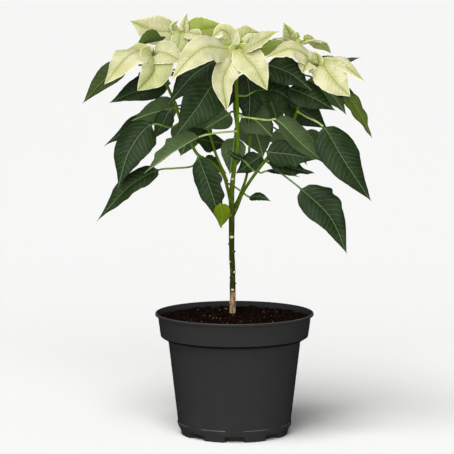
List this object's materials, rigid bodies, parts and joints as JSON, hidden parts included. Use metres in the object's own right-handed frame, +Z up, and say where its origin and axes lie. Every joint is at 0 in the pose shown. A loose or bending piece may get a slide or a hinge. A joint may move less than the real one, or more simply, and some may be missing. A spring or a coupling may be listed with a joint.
{
  "type": "potted poinsettia",
  "caption": "White poinsettia grown on a single bare stem, with toothed dark green leaves and cream flower heads, standing in a round black nursery pot filled with soil.",
  "frame": {"origin": "middle of the pot's flat underside, on the surface it stands on", "axes": "+Z up along the pot's axis, -Y towards the front of the plant, +X to the right seen from the front"},
  "size_m": [0.3084, 0.2277, 0.4503],
  "materials": {
    "pot_plastic": "black injection-moulded polypropylene, fine matt",
    "peat": "dark moist peat with bark bits",
    "stem_bark": "tan bark below, green skin above",
    "leaf_blade": "dark green, soft satin, with paler veins",
    "young_leaf": "yellow-green, soft satin",
    "cream_bract": "cream white, matt, with green-tinged veins",
    "cyathium": "green and yellow buds, satin"
  },
  "bodies": {
    "root": {"pot": "pot_plastic", "soil": "peat", "stem": "stem_bark", "leaf_back_high_left": "leaf_blade", "leaf_back_high_middle": "leaf_blade", "leaf_back_high_right": "leaf_blade", "leaf_back_low_left": "leaf_blade", "leaf_back_low_middle": "leaf_blade", "leaf_back_low_right": "leaf_blade", "leaf_back_under_left": "leaf_blade", "leaf_back_under_right": "leaf_blade", "leaf_behind_front": "leaf_blade", "leaf_behind_left": "leaf_blade", "leaf_behind_right": "leaf_blade", "leaf_centre_back": "leaf_blade", "leaf_centre_hanging": "leaf_blade", "leaf_centre_low": "leaf_blade", "leaf_centre_wavy": "leaf_blade", "leaf_far_left": "leaf_blade", "leaf_front": "leaf_blade", "leaf_hanging": "leaf_blade", "leaf_left_behind": "leaf_blade", "leaf_left_dark": "leaf_blade", "leaf_left_folded": "leaf_blade", "leaf_left_inner": "leaf_blade", "leaf_left_low": "leaf_blade", "leaf_left_pale": "leaf_blade", "leaf_left_shade": "leaf_blade", "leaf_left_slim": "leaf_blade", "leaf_left_upper": "leaf_blade", "leaf_mid_right": "leaf_blade", "leaf_mid_wavy": "leaf_blade", "leaf_over_left": "leaf_blade", "leaf_right": "leaf_blade", "leaf_right_back": "leaf_blade", "leaf_right_dark": "leaf_blade", "leaf_right_low": "leaf_blade", "leaf_right_olive": "leaf_blade", "leaf_right_pale": "leaf_blade", "leaf_right_point": "leaf_blade", "leaf_right_slim": "leaf_blade", "leaf_right_top": "leaf_blade", "leaf_right_tucked": "leaf_blade", "leaf_right_turning": "leaf_blade", "leaf_small_front": "leaf_blade", "leaf_small_low": "leaf_blade", "leaf_under_front": "leaf_blade", "leaf_young": "young_leaf", "bracts_back": "cream_bract", "bracts_backLeft": "cream_bract", "bracts_backRight": "cream_bract", "bracts_front": "cream_bract", "bracts_left": "cream_bract", "bracts_right": "cream_bract", "cyathia_back": "cyathium", "cyathia_backLeft": "cyathium", "cyathia_backRight": "cyathium", "cyathia_front": "cyathium", "cyathia_left": "cyathium", "cyathia_right": "cyathium"}
  },
  "joints": []
}
